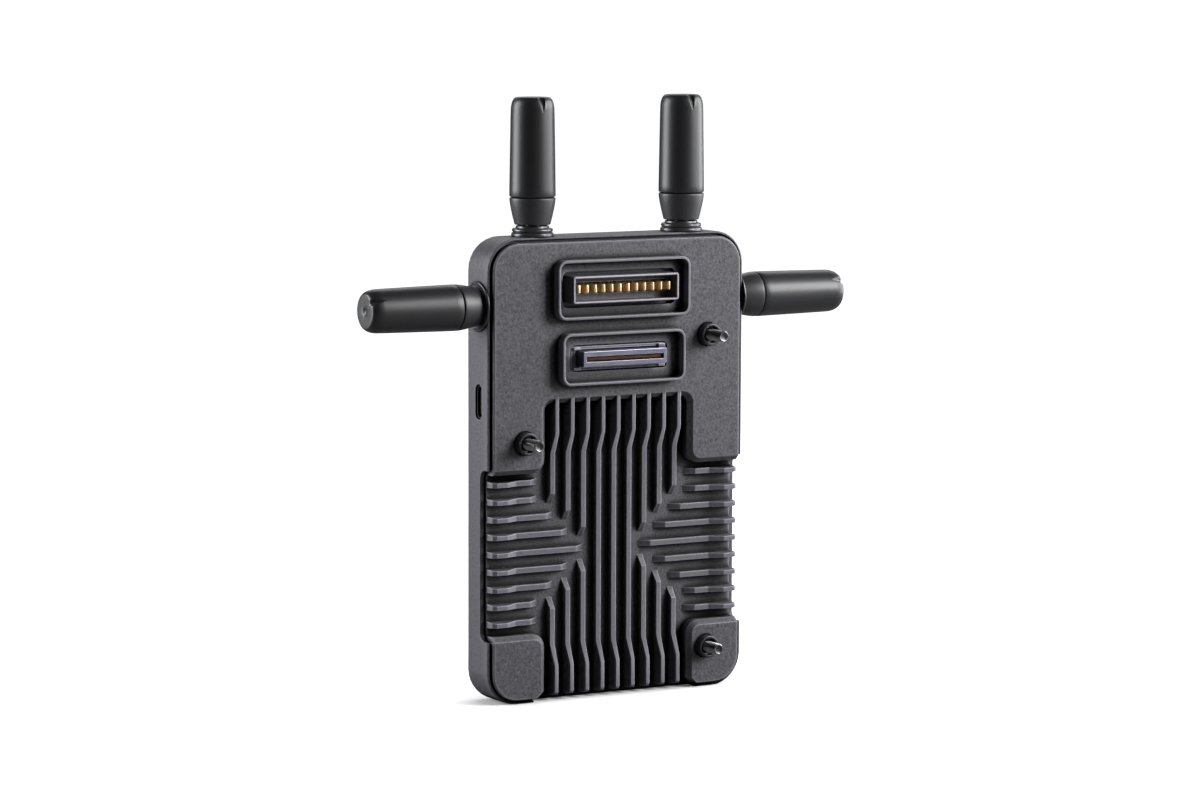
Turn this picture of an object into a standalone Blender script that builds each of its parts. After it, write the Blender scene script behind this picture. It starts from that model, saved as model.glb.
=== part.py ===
"""Wireless receiver unit: slim metal case with a finned interface face, two
docking connectors, three captive screws, a USB-C port and four stub antennas.

Blender 4.5 script, metres, +Z up. X runs across the interface face, the face
looks toward -Y, and the unit stands on its bottom edge at Z = 0. Depths in the
constants below count from the face plane.
"""
import math

import bmesh
import bpy
from mathutils import Matrix, Vector

MM = 0.001

# ---- driving dimensions (millimetres) --------------------------------------
FACE_HALF_W = 37.75         # interface plate, half width
FACE_H = 121.95             # interface plate, height
FACE_R = 7.45               # interface plate corner radius
RIM = 1.25                  # outer shell stands this far outside the plate
RIM_T = 0.6                 # thickness of the shell's front rim
FOOT_Z = 0.95               # lower edge of the interface plate
SHELL_FRONT = 1.1           # shell rim, depth behind the face plane
SHELL_BACK = 12.9           # back of the case
SHELL_WALL = 1.2
BACK_WALL = 1.5
BACK_FILLET = 1.5
LIP_T = 2.0                 # thickness of the face skin
LEDGE_Y = 3.2               # ledge in the shell behind the face lip
BODY_HALF_W = 37.5          # plate behind its lip, and the finned sides
FLOOR_Y = 4.6               # fin floor
DISH_Y = 2.4                # fin tops in the dished middle
PLATE_BACK = 6.2
CHAMFER = 1.3               # chamfer round the finned field
RECESS_HALF_W = 23.2
RECESS_TOP = 80.7
PAD_UPPER = 62.4            # lower edge of the upper pads
PAD_LOWER = 17.0            # upper edge of the lower pads
FIN_PITCH = 4.68
FIN_HALF_T = 0.50
FIN_DRAFT = 0.073
ROW_PITCH = 4.64
ROW_MID = 39.95
ROW_HALF_T = 0.56
ROW_DRAFT = 0.062
ROW_TIP_Y = 0.3
CUT_Y = 5.2                 # shell edge beside the fins
BOSS_H = 3.2
BOSS_WALL = 0.7
POWER_BOSS = (40.4, 15.8, 109.3)
DATA_BOSS = (37.6, 13.9, 90.95)
BOSS_R = 2.6
POWER_SLOT = (34.4, 9.6, 109.15)
DATA_SLOT = (29.8, 7.1, 90.95)
POWER_BODY = (32.2, 7.25, 109.35)
POWER_RIM_Y = -4.0
CONTACT_PITCH = 2.5
CONTACTS = 12
CONTACT_W = 0.85
CONTACT_H = 2.3
CONTACT_FRONT = -2.9
SCREWS = ((27.4, 95.7, -8.7), (-28.5, 69.3, -8.1), (27.2, 11.2, -7.3))
SLEEVE_R = 3.0
SLEEVE_FRONT = -2.5
SCREW_R = 1.5
ANT_Y = 6.3                 # antenna axes, depth behind the face plane
ANT_TOP_X = 22.8
ANT_SIDE_Z = 105.3
ANT_TOP_SEAM = 10.3
ANT_SIDE_SEAM = 7.0
ANT_SLEEVE_L = 26.2
USB_Y = 6.0
USB_Z = 80.25
CASE_SCREWS = ((-32.2, 114.2), (32.2, 114.2), (-32.7, 6.4), (32.7, 6.4))
BOARD_Y = (9.2, 10.2)
ORIGIN_Y = 7.0              # the part's origin, depth behind the face plane

for stale in list(bpy.data.objects):
    bpy.data.objects.remove(stale, do_unlink=True)


# ---- helpers ----------------------------------------------------------------
def material(name, colour, roughness, metallic):
    mat = bpy.data.materials.new(name)
    mat.use_nodes = True
    shader = mat.node_tree.nodes["Principled BSDF"]
    shader.inputs["Base Color"].default_value = (*colour, 1.0)
    shader.inputs["Roughness"].default_value = roughness
    shader.inputs["Metallic"].default_value = metallic
    mat.diffuse_color = (*colour, 1.0)
    return mat


def link(name, mesh, mat):
    obj = bpy.data.objects.new(name, mesh)
    bpy.context.scene.collection.objects.link(obj)
    if mat is not None and not mesh.materials:
        mesh.materials.append(mat)
    return obj


def finish(bm, name):
    bmesh.ops.recalc_face_normals(bm, faces=bm.faces)
    mesh = bpy.data.meshes.new(name)
    bm.to_mesh(mesh)
    bm.free()
    return mesh


def shade(obj, angle=32.0):
    mesh = obj.data
    mesh.polygons.foreach_set("use_smooth", [True] * len(mesh.polygons))
    mesh.set_sharp_from_angle(angle=math.radians(angle))


def corner(cx, cz, r, start, end, steps):
    pts = []
    for i in range(steps + 1):
        a = math.radians(start + (end - start) * i / steps)
        pts.append((cx + r * math.cos(a), cz + r * math.sin(a)))
    return pts


def rounded(half_w, low, high, r, steps=8):
    """Rounded rectangle outline in (x, z), counter-clockwise."""
    return (corner(half_w - r, low + r, r, -90, 0, steps)
            + corner(half_w - r, high - r, r, 0, 90, steps)
            + corner(-half_w + r, high - r, r, 90, 180, steps)
            + corner(-half_w + r, low + r, r, 180, 270, steps))


def loft(layers, name):
    """Closed solid through outlines [(y, [(x, z), ...]), ...] of equal length."""
    bm = bmesh.new()
    rings = []
    for y, outline in layers:
        rings.append([bm.verts.new((x * MM, y * MM, z * MM)) for x, z in outline])
    n = len(rings[0])
    bm.faces.new(rings[0])
    bm.faces.new(list(reversed(rings[-1])))
    for a, b in zip(rings, rings[1:]):
        for i in range(n):
            j = (i + 1) % n
            bm.faces.new((a[i], b[i], b[j], a[j]))
    return finish(bm, name)


def box(name, x0, x1, y0, y1, z0, z1):
    return loft([(y0, [(x0, z0), (x1, z0), (x1, z1), (x0, z1)]),
                 (y1, [(x0, z0), (x1, z0), (x1, z1), (x0, z1)])], name)


def lathe(profile, segments, name):
    """Solid of revolution about +Z from a closed (radius, height) profile in mm."""
    bm = bmesh.new()
    rings = []
    for r, h in profile:
        if r < 1e-6:
            rings.append([bm.verts.new((0.0, 0.0, h * MM))])
        else:
            ring = []
            for k in range(segments):
                a = 2 * math.pi * k / segments
                ring.append(bm.verts.new((r * MM * math.cos(a), r * MM * math.sin(a), h * MM)))
            rings.append(ring)
    closed = len(rings[0]) > 1 and len(rings[-1]) > 1
    pairs = list(zip(rings, rings[1:]))
    if closed:
        pairs.append((rings[-1], rings[0]))
    for a, b in pairs:
        for k in range(segments):
            m = (k + 1) % segments
            if len(a) == 1 and len(b) == 1:
                continue
            if len(a) == 1:
                bm.faces.new((a[0], b[k], b[m]))
            elif len(b) == 1:
                bm.faces.new((a[k], a[m], b[0]))
            else:
                bm.faces.new((a[k], a[m], b[m], b[k]))
    return finish(bm, name)


def rod(r, h0, h1, segments, name):
    return lathe([(0, h0), (r, h0), (r, h1), (0, h1)], segments, name)


def combine(obj, meshes, operation):
    """Boolean the meshes into obj one after another with the exact solver."""
    for mesh in meshes:
        tool = bpy.data.objects.new("tool", mesh)
        bpy.context.scene.collection.objects.link(tool)
        tool.hide_render = True
        tool.display_type = "WIRE"
        mod = obj.modifiers.new("shape", "BOOLEAN")
        mod.operation = operation
        mod.solver = "EXACT"
        mod.object = tool
        graph = bpy.context.evaluated_depsgraph_get()
        graph.update()
        result = bpy.data.meshes.new_from_object(obj.evaluated_get(graph))
        obj.modifiers.clear()
        old = obj.data
        result.name = old.name
        obj.data = result
        bpy.data.meshes.remove(old)
        bpy.data.objects.remove(tool, do_unlink=True)
    return obj


def along_y(mesh, x, z):
    """Turn a lathe made about +Z so it runs along +Y through (x, z)."""
    mesh.transform(Matrix.Translation((x * MM, 0, z * MM)) @ Matrix.Rotation(-math.pi / 2, 4, "X"))
    return mesh


def along_x(mesh, y, z):
    mesh.transform(Matrix.Translation((0, y * MM, z * MM)) @ Matrix.Rotation(math.pi / 2, 4, "Y"))
    return mesh


def tidy(obj):
    bm = bmesh.new()
    bm.from_mesh(obj.data)
    bmesh.ops.remove_doubles(bm, verts=bm.verts, dist=1e-6)
    bmesh.ops.dissolve_limit(bm, angle_limit=math.radians(0.2), verts=bm.verts, edges=bm.edges)
    bmesh.ops.triangulate(bm, faces=[f for f in bm.faces if len(f.verts) > 4])
    bm.to_mesh(obj.data)
    bm.free()
    shade(obj)


# ---- materials --------------------------------------------------------------
SHELL_MAT = material("shell_paint", (0.150, 0.148, 0.156), 0.62, 0.25)
PLATE_MAT = material("plate_paint", (0.138, 0.136, 0.142), 0.60, 0.25)
RUBBER = material("gasket_rubber", (0.012, 0.012, 0.013), 0.85, 0.0)
BOARD = material("board_green", (0.020, 0.090, 0.045), 0.55, 0.0)
CAN = material("shield_tin", (0.62, 0.62, 0.60), 0.35, 1.0)
CHIP = material("chip_black", (0.030, 0.030, 0.032), 0.45, 0.0)
PAD = material("pad_grey", (0.36, 0.38, 0.42), 0.9, 0.0)
SOCKET = material("socket_black", (0.045, 0.044, 0.050), 0.42, 0.0)
GOLD = material("contact_gold", (0.83, 0.56, 0.22), 0.24, 1.0)
SILVER = material("connector_steel", (0.60, 0.60, 0.66), 0.30, 1.0)
COPPER = material("tongue_copper", (0.26, 0.12, 0.07), 0.45, 0.6)
STEEL = material("screw_steel", (0.30, 0.30, 0.31), 0.32, 1.0)
SLEEVE_MAT = material("sleeve_black", (0.080, 0.079, 0.084), 0.40, 0.7)
RING_MAT = material("ring_black", (0.070, 0.070, 0.075), 0.34, 0.7)
COLLAR_MAT = material("collar_black", (0.050, 0.050, 0.055), 0.42, 0.0)
ANT_MAT = material("antenna_black", (0.030, 0.030, 0.033), 0.36, 0.0)
STEM = material("stem_nickel", (0.050, 0.048, 0.050), 0.35, 0.9)



# ---- outer shell ------------------------------------------------------------
def shell_outline(inset, steps=8):
    return rounded(FACE_HALF_W + RIM - inset, inset, FACE_H + RIM - inset,
                   FACE_R + RIM - inset, steps)


layers = [(SHELL_FRONT, shell_outline(0.2)), (SHELL_FRONT + 0.2, shell_outline(0.0))]
for i in range(4):
    a = math.radians(30 * i)
    layers.append((SHELL_BACK - BACK_FILLET + BACK_FILLET * math.sin(a),
                   shell_outline(BACK_FILLET * (1 - math.cos(a)))))
shell = link("outer_shell", loft(layers, "outer_shell"), SHELL_MAT)
cavity = [loft([(LEDGE_Y, shell_outline(SHELL_WALL)),
                (SHELL_BACK - BACK_WALL, shell_outline(SHELL_WALL))], "cavity"),
          loft([(-1.0, shell_outline(RIM_T)), (LEDGE_Y + 0.01, shell_outline(RIM_T))], "mouth"),
          box("foot", -RECESS_HALF_W - 1.8, RECESS_HALF_W + 1.8, -2.0, CUT_Y, -2.0, 2.0)]
combine(shell, cavity, "DIFFERENCE")
# the side walls step back beside the fins
side = []
r = 2.6
y_cut, z_lo, z_hi = CUT_Y, PAD_LOWER, PAD_UPPER
outline = ([(-2.0, z_lo)] + corner(y_cut - r, z_lo + r, r, -90, 0, 5)
           + corner(y_cut - r, z_hi - r, r, 0, 90, 5) + [(-2.0, z_hi)])
bm = bmesh.new()
ends = []
for x in (-45.0, 45.0):
    ends.append([bm.verts.new((x * MM, y * MM, z * MM)) for y, z in outline])
bm.faces.new(ends[0])
bm.faces.new(list(reversed(ends[1])))
for i in range(len(outline)):
    j = (i + 1) % len(outline)
    bm.faces.new((ends[0][i], ends[1][i], ends[1][j], ends[0][j]))
combine(shell, [finish(bm, "side_cut")], "DIFFERENCE")
holes = []
for sx in (-1, 1):
    m = rod(2.3, 118.0, 126.0, 24, "hole")
    m.transform(Matrix.Translation((sx * ANT_TOP_X * MM, ANT_Y * MM, 0)))
    holes.append(m)
    holes.append(along_x(rod(2.3, 34.0 if sx > 0 else -42.0, 42.0 if sx > 0 else -34.0, 24, "hole"),
                         ANT_Y, ANT_SIDE_Z))
for x, z, tip in SCREWS:
    holes.append(along_y(rod(3.3, 10.5, 14.0, 28, "hole"), x, z))
for x, z in CASE_SCREWS:
    holes.append(along_y(lathe([(0, 10.5), (1.3, 10.5), (1.3, 11.9), (2.23, 11.85), (2.23, 14.0), (0, 14.0)],
                               24, "hole"), x, z))


def pill_x(x0, x1, half_l, half_w, name, steps=6):
    """Pill-shaped prism along X, long axis upright, centred on the USB port."""
    pts = ([(USB_Y + half_w * math.cos(t), USB_Z + half_l - half_w + half_w * math.sin(t))
            for t in [math.pi * i / (2 * steps) for i in range(2 * steps + 1)]]
           + [(USB_Y + half_w * math.cos(t), USB_Z - half_l + half_w + half_w * math.sin(t))
              for t in [math.pi + math.pi * i / (2 * steps) for i in range(2 * steps + 1)]])
    b = bmesh.new()
    rows = [[b.verts.new((x * MM, y * MM, z * MM)) for y, z in pts] for x in (x0, x1)]
    b.faces.new(rows[0])
    b.faces.new(list(reversed(rows[1])))
    for i in range(len(pts)):
        j = (i + 1) % len(pts)
        b.faces.new((rows[0][i], rows[1][i], rows[1][j], rows[0][j]))
    return finish(b, name)


holes.append(pill_x(-42.0, -36.0, 4.65, 1.8, "usb_hole"))
combine(shell, holes, "DIFFERENCE")
tidy(shell)


# ---- interface plate with heat sink -----------------------------------------
def field_outline(d, steps=5):
    """Outline of the finned field; d shrinks it, as the chamfer does with depth."""
    hw, top = RECESS_HALF_W - d, RECESS_TOP - d
    up, lo = PAD_UPPER - d, PAD_LOWER + d
    out, foot = 44.0, -4.0
    pad_r, in_r = 2.3 + d, 3.2 - d
    right = ([(hw + 1.8, foot), (hw + 1.8, FOOT_Z), (hw, FOOT_Z + 1.8)] + corner(hw + pad_r, lo - pad_r, pad_r, 180, 90, steps)
             + [(out, lo), (out, up)]
             + corner(hw + pad_r, up + pad_r, pad_r, 270, 180, steps)
             + corner(hw - in_r, top - in_r, in_r, 0, 90, steps))
    return right + [(-x, z) for x, z in reversed(right)]


plate = link("heat_sink_plate", loft(
    [(0.0, rounded(FACE_HALF_W - 0.3, FOOT_Z + 0.3, FACE_H - 0.3, FACE_R - 0.3)),
     (0.3, rounded(FACE_HALF_W, FOOT_Z, FACE_H, FACE_R)),
     (LIP_T, rounded(FACE_HALF_W, FOOT_Z, FACE_H, FACE_R))], "heat_sink_plate"), PLATE_MAT)

low = 1.5
deep = (corner(BODY_HALF_W - 7.2, low + 7.2, 7.2, -90, 0, 8)
        + [(BODY_HALF_W, PAD_UPPER + 0.5), (23.4, PAD_UPPER + 0.5),
           (23.4, RECESS_TOP + 0.3), (-23.4, RECESS_TOP + 0.3),
           (-23.4, PAD_UPPER + 0.5), (-BODY_HALF_W, PAD_UPPER + 0.5)]
        + corner(-BODY_HALF_W + 7.2, low + 7.2, 7.2, 180, 270, 8))
combine(plate, [loft([(LIP_T - 0.2, deep), (PLATE_BACK, deep)], "deep")], "UNION")

# field pocket with its chamfer, then trim the lip beside the fins
combine(plate, [loft([(-1.0, field_outline(0.0)), (0.0, field_outline(0.0)),
                      (CHAMFER, field_outline(CHAMFER)), (FLOOR_Y, field_outline(CHAMFER))], "field")],
        "DIFFERENCE")
trims = []
for sx in (-1, 1):
    x0, x1 = sorted((sx * BODY_HALF_W, sx * 41.0))
    trims.append(box("trim", x0, x1, -1.0, LIP_T + 0.2, PAD_LOWER, PAD_UPPER))
combine(plate, trims, "DIFFERENCE")


def upright_fin(xc, profile, name):
    """Fin in the (y, z) plane whose faces draft with depth."""
    b = bmesh.new()
    rows = []
    for s in (-1, 1):
        rows.append([b.verts.new(((xc + s * (FIN_HALF_T + FIN_DRAFT * y)) * MM, y * MM, z * MM))
                     for y, z in profile])
    b.faces.new(rows[0])
    b.faces.new(list(reversed(rows[1])))
    n = len(profile)
    for i in range(n):
        j = (i + 1) % n
        b.faces.new((rows[0][i], rows[1][i], rows[1][j], rows[0][j]))
    return finish(b, name)


def level_fin(zc, profile, sx, name):
    """Fin in the (x, y) plane at height zc, mirrored by sx."""
    b = bmesh.new()
    rows = []
    for s in (-1, 1):
        rows.append([b.verts.new((sx * x * MM, y * MM, (zc + s * (ROW_HALF_T + ROW_DRAFT * y)) * MM))
                     for x, y in profile])
    b.faces.new(rows[0])
    b.faces.new(list(reversed(rows[1])))
    n = len(profile)
    for i in range(n):
        j = (i + 1) % n
        b.faces.new((rows[0][i], rows[1][i], rows[1][j], rows[0][j]))
    return finish(b, name)


ROOT = FLOOR_Y + 0.4
fins = []
for k in range(-4, 5):
    xc = k * FIN_PITCH
    head = [(0.0, 80.9), (0.0, 71.2), (DISH_Y, 65.9)]
    foot = [(DISH_Y, 14.8), (0.0, 9.5), (0.0, 2.4), (0.45, 1.7), (1.5, 1.5)]
    if abs(k) <= 1:
        fins.append(upright_fin(xc, [(ROOT, 80.9)] + head + foot + [(ROOT, 1.5)], "fin"))
    else:
        step = (abs(k) - 2) * 4.72
        up_flat, up_end = ROW_MID - 0.1 + 5.85 + step, ROW_MID - 0.1 + 3.1 + step
        lo_flat, lo_end = ROW_MID - 0.1 - 5.85 - step, ROW_MID - 0.1 - 3.1 - step
        fins.append(upright_fin(xc, [(ROOT, 80.9)] + head
                                + [(DISH_Y, up_flat), (FLOOR_Y, up_end), (ROOT, up_end)], "fin"))
        fins.append(upright_fin(xc, [(ROOT, lo_end), (FLOOR_Y, lo_end), (DISH_Y, lo_flat)]
                                + foot + [(ROOT, 1.5)], "fin"))
for i in range(-4, 5):
    inner = {0: 8.5, 1: 13.15, 2: 17.8}.get(abs(i), 22.5)
    profile = [(BODY_HALF_W, ROOT), (BODY_HALF_W, ROW_TIP_Y + 0.94), (BODY_HALF_W - 0.94, ROW_TIP_Y),
               (33.3, ROW_TIP_Y), (29.7, DISH_Y), (inner + 2.9, DISH_Y), (inner, FLOOR_Y),
               (inner, ROOT)]
    for sx in (-1, 1):
        fins.append(level_fin(ROW_MID + i * ROW_PITCH, profile, sx, "row"))
combine(plate, fins, "UNION")

# connector frames raised on the face
for (w, h, zc), (sw, sh, sz) in ((POWER_BOSS, POWER_SLOT), (DATA_BOSS, DATA_SLOT)):
    outer = rounded(w / 2, zc - h / 2, zc + h / 2, BOSS_R, 6)
    outer_in = rounded(w / 2 - 0.2, zc - h / 2 + 0.2, zc + h / 2 - 0.2, BOSS_R - 0.2, 6)
    inner = rounded(w / 2 - BOSS_WALL, zc - h / 2 + BOSS_WALL, zc + h / 2 - BOSS_WALL,
                    BOSS_R - BOSS_WALL, 6)
    combine(plate, [loft([(-BOSS_H, outer_in), (-BOSS_H + 0.2, outer), (0.6, outer)], "boss")], "UNION")
    combine(plate, [loft([(-BOSS_H - 1, inner), (0.0, inner)], "boss_in"),
                    loft([(-1.0, rounded(sw / 2, sz - sh / 2, sz + sh / 2, 1.4, 4)),
                          (LIP_T + 1, rounded(sw / 2, sz - sh / 2, sz + sh / 2, 1.4, 4))],
                         "slot")], "DIFFERENCE")

# screw columns, captive-screw bores and their pockets
for x, z in CASE_SCREWS:
    combine(plate, [along_y(rod(2.6, LIP_T - 0.3, 8.6, 20, "column"), x, z)], "UNION")
    combine(plate, [along_y(rod(1.3, 4.0, 9.5, 16, "pilot"), x, z)], "DIFFERENCE")
for x, z, tip in SCREWS:
    combine(plate, [along_y(rod(3.3, -1.0, LIP_T + 1.0, 28, "bore"), x, z)], "DIFFERENCE")
    if z < PAD_LOWER:
        combine(plate, [along_y(rod(4.6, LIP_T, 7.5, 28, "pocket"), x, z)], "DIFFERENCE")
tidy(plate)


# ---- seam gaskets ------------------------------------------------------------
def gasket(name, cuts):
    """Bead behind the plate's lip, left where none of the cut boxes reach."""
    outer = shell_outline(0.75)
    inner = shell_outline(1.4)
    obj = link(name, loft([(2.15, outer), (3.05, outer)], name), RUBBER)
    combine(obj, [loft([(1.0, inner), (4.0, inner)], "in")]
            + [box("cut", x0, x1, 0, 6, z0, z1) for x0, x1, z0, z1 in cuts], "DIFFERENCE")
    tidy(obj)
    return obj


gasket("seam_gasket_upper", [(-45, 45, -5.0, PAD_UPPER + 1.2)])
gasket("seam_gasket_lower_left", [(-45, 45, PAD_LOWER - 1.2, 130.0), (-26.0, 45, -5.0, 130.0)])
gasket("seam_gasket_lower_right", [(-45, 45, PAD_LOWER - 1.2, 130.0), (-45, 26.0, -5.0, 130.0)])

# ---- electronics inside ------------------------------------------------------
board = link("main_board", loft([(BOARD_Y[0], rounded(36.6, 2.2, 120.4, 5.5, 5)),
                                 (BOARD_Y[1], rounded(36.6, 2.2, 120.4, 5.5, 5))],
                                "main_board"), BOARD)
combine(board, [along_y(rod(3.4, 8.5, 11.0, 24, "h"), x, z) for x, z, tip in SCREWS]
        + [along_y(rod(1.5, 8.5, 11.0, 16, "h"), x, z) for x, z in CASE_SCREWS], "DIFFERENCE")
tidy(board)
can = link("rf_shield_can", loft([(6.6, rounded(20.0, 84.0, 118.0, 1.2, 3)),
                                  (8.95, rounded(20.0, 84.0, 118.0, 1.2, 3))],
                                 "rf_shield_can"), CAN)
combine(can, [loft([(6.95, rounded(19.65, 84.35, 117.65, 0.85, 3)),
                    (9.5, rounded(19.65, 84.35, 117.65, 0.85, 3))], "in")], "DIFFERENCE")
tidy(can)
link("processor_chip", box("processor_chip", -8, 8, 7.7, 8.95, 32, 48), CHIP)
link("thermal_pad", box("thermal_pad", -9, 9, 6.45, 7.45, 31, 49), PAD)

# ---- power docking connector ---------------------------------------------------
w, h, zc = POWER_BODY


def rect(hw, hh, r=0.6, mid=None, steps=3):
    m = (zc if mid is None else mid)
    return rounded(hw, m - hh, m + hh, r, steps)


power = link("power_connector_body", loft([(POWER_RIM_Y, rect(w / 2 - 0.15, h / 2 - 0.15, 0.5)),
                                           (POWER_RIM_Y + 0.15, rect(w / 2, h / 2)),
                                           (6.0, rect(w / 2, h / 2))], "power_connector_body"), SOCKET)
combine(power, [loft([(2.3, rect(18.4, 5.6)), (4.0, rect(18.4, 5.6))], "flange")], "UNION")
combine(power, [loft([(-5.0, rect(w / 2 - 0.55, h / 2 - 0.55, 0.3)),
                      (0.6, rect(w / 2 - 0.55, h / 2 - 0.55, 0.3))], "mouth"),
                loft([(0.0, rect(14.75, 1.45, 0.2, 109.5)), (3.6, rect(14.75, 1.45, 0.2, 109.5))],
                     "well")], "DIFFERENCE")
tidy(power)
blade = loft([(CONTACT_FRONT, rounded(CONTACT_W / 2, -CONTACT_H / 2, CONTACT_H / 2, 0.2, 3)),
              (3.3, rounded(CONTACT_W / 2, -CONTACT_H / 2, CONTACT_H / 2, 0.2, 3))], "power_contact")
blade.materials.append(GOLD)
for i in range(CONTACTS):
    c = link("power_contact_%02d" % (i + 1), blade, None)
    c.location = ((i - (CONTACTS - 1) / 2) * CONTACT_PITCH * MM, 0.0, 109.5 * MM)
    shade(c)

# ---- data docking connector ----------------------------------------------------
ZD = DATA_SLOT[2]
base = link("data_connector_base", loft([(0.3, rect(14.5, 3.15, 0.9, ZD)), (5.2, rect(14.5, 3.15, 0.9, ZD))],
                                        "data_connector_base"), SOCKET)
combine(base, [loft([(2.3, rect(16.4, 5.0, 0.9, ZD)), (3.9, rect(16.4, 5.0, 0.9, ZD))], "flange")], "UNION")
combine(base, [loft([(-1.0, rect(13.05, 2.37, 0.5, ZD)), (2.8, rect(13.05, 2.37, 0.5, ZD))], "well")],
        "DIFFERENCE")
tidy(base)
lips = link("data_connector_shell", loft([(-3.5, rect(12.65, 1.97, 0.25, ZD)),
                                          (-3.4, rect(12.75, 2.07, 0.3, ZD)),
                                          (2.5, rect(12.75, 2.07, 0.3, ZD))], "data_connector_shell"), SILVER)
combine(lips, [loft([(-5.0, rect(11.8, 0.70, 0.15, ZD)), (4.0, rect(11.8, 0.70, 0.15, ZD))], "slot")],
        "DIFFERENCE")
tidy(lips)
link("data_connector_tongue", box("data_connector_tongue", -11.5, 11.5, -2.7, 2.5,
                                  ZD - 0.42, ZD + 0.42), COPPER)
n = 0
for sx in (-1, 1):
    for sz in (-1, 1):
        n += 1
        x0, x1 = sorted((sx * 13.9, sx * 12.0))
        z0, z1 = sorted((ZD + sz * 2.35, ZD + sz * 3.0))
        link("data_connector_tab_%d" % n, box("data_connector_tab_%d" % n, x0, x1, -0.55, 0.1,
                                              z0, z1), SILVER)

# ---- USB-C port ------------------------------------------------------------------
usb = link("usb_c_shell", pill_x(-38.6, -31.6, 4.35, 1.5, "usb_c_shell"), SILVER)
combine(usb, [pill_x(-40.0, -32.0, 4.05, 1.2, "in")], "DIFFERENCE")
tidy(usb)
link("usb_c_tongue", box("usb_c_tongue", -38.1, -32.3, USB_Y - 0.35, USB_Y + 0.35,
                         USB_Z - 3.3, USB_Z + 3.3), SOCKET)

# ---- captive screws ----------------------------------------------------------------
SEG = 24
face_out = (math.pi / 2, 0.0, 0.0)      # turns +Z toward -Y
for i, (x, z, tip) in enumerate(SCREWS, 1):
    at = (x * MM, 0.0, z * MM)
    sleeve = link("captive_screw_sleeve_%d" % i, lathe(
        [(1.8, -3.2), (3.9, -3.2), (3.9, -2.3), (SLEEVE_R, -2.3), (SLEEVE_R, -SLEEVE_FRONT - 0.2),
         (SLEEVE_R - 0.2, -SLEEVE_FRONT), (2.4, -SLEEVE_FRONT), (2.3, -SLEEVE_FRONT - 0.1), (2.3, 0.5),
         (1.8, 0.5)], 28, "captive_screw_sleeve_%d" % i), SLEEVE_MAT)
    sleeve.location, sleeve.rotation_euler = at, face_out
    shade(sleeve)
    ring = link("captive_screw_retainer_%d" % i, lathe(
        [(1.8, -4.6), (2.9, -4.6), (2.9, -3.9), (1.8, -3.9)], SEG, "captive_screw_retainer_%d" % i), STEEL)
    ring.location, ring.rotation_euler = at, face_out
    shade(ring)
    body = link("captive_screw_%d" % i, lathe(
        [(0, -10.6), (2.35, -10.6), (2.7, -10.3), (2.7, -7.6), (SCREW_R, -7.6), (SCREW_R, -tip - 0.45),
         (SCREW_R - 0.45, -tip), (0, -tip)], SEG, "captive_screw_%d" % i), STEEL)
    hexagon = rod(1.44, -11.5, -9.0, 6, "hex")
    combine(body, [hexagon], "DIFFERENCE")
    tidy(body)
    body.location, body.rotation_euler = at, face_out

# ---- case screws from the back -------------------------------------------------------
screw_mesh = lathe([(0, 4.8), (1.0, 4.8), (1.0, 12.2), (1.85, 12.2), (1.85, 12.75), (1.7, 12.85), (0, 12.85)],
                   16, "case_screw")
for i, (x, z) in enumerate(CASE_SCREWS, 1):
    s = link("case_screw_%d" % i, screw_mesh.copy(), STEEL)
    s.location = (x * MM, 0.0, z * MM)
    s.rotation_euler = (-math.pi / 2, 0.0, 0.0)
    combine(s, [rod(0.75, 12.2, 14.0, 6, "drive")], "DIFFERENCE")
    shade(s)

# ---- antennas --------------------------------------------------------------------------
ANT_SEG = 24


def ring_mesh(top):
    if top:
        profile = [(2.3, 0.1), (5.6, 0.1), (5.6, 0.75), (5.4, 1.0), (5.1, 1.15), (5.4, 1.35),
                   (5.4, 1.9), (5.15, 2.15), (4.4, 2.25), (4.35, 2.8), (2.3, 2.8)]
    else:
        profile = [(2.3, 0.1), (6.6, 0.1), (6.6, 0.4), (6.4, 0.65), (6.0, 0.65), (5.8, 0.45),
                   (2.3, 0.45)]
    return lathe(profile, ANT_SEG, "antenna_base_ring")


def collar_mesh(seam, start):
    neck = [(seam - 7.25, 4.4), (seam - 6.9, 4.8), (seam - 4.7, 5.35), (seam - 2.7, 5.78), (seam - 1.3, 6.0)]
    skirt = [(r, u) for u, r in neck if u > start + 0.2]
    if len(skirt) < len(neck) - 1:
        skirt = [(skirt[0][0] - 0.35, start)] + skirt
    profile = ([(2.3, start), (skirt[0][0] - 0.1, start)] + skirt
               + [(6.1, seam - 0.25), (6.0, seam - 0.12), (2.3, seam - 0.12)])
    return lathe(profile, ANT_SEG, "antenna_collar")


def sleeve_mesh(seam):
    tip = seam + ANT_SLEEVE_L
    profile = [(2.3, seam + 0.12), (6.0, seam + 0.12), (6.1, seam + 0.25), (5.75, tip - 3.6)]
    for k in range(1, 5):
        a = math.radians(22.5 * k)
        profile.append((4.15 + 1.6 * math.cos(a), tip - 3.6 + 3.6 * math.sin(a)))
    profile += [(0.55, tip), (0.4, tip - 0.4), (0, tip - 0.4)]
    inner = [(0, tip - 5.0), (2.3, tip - 5.0)]
    return sleeve_solid(profile, inner)


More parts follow.
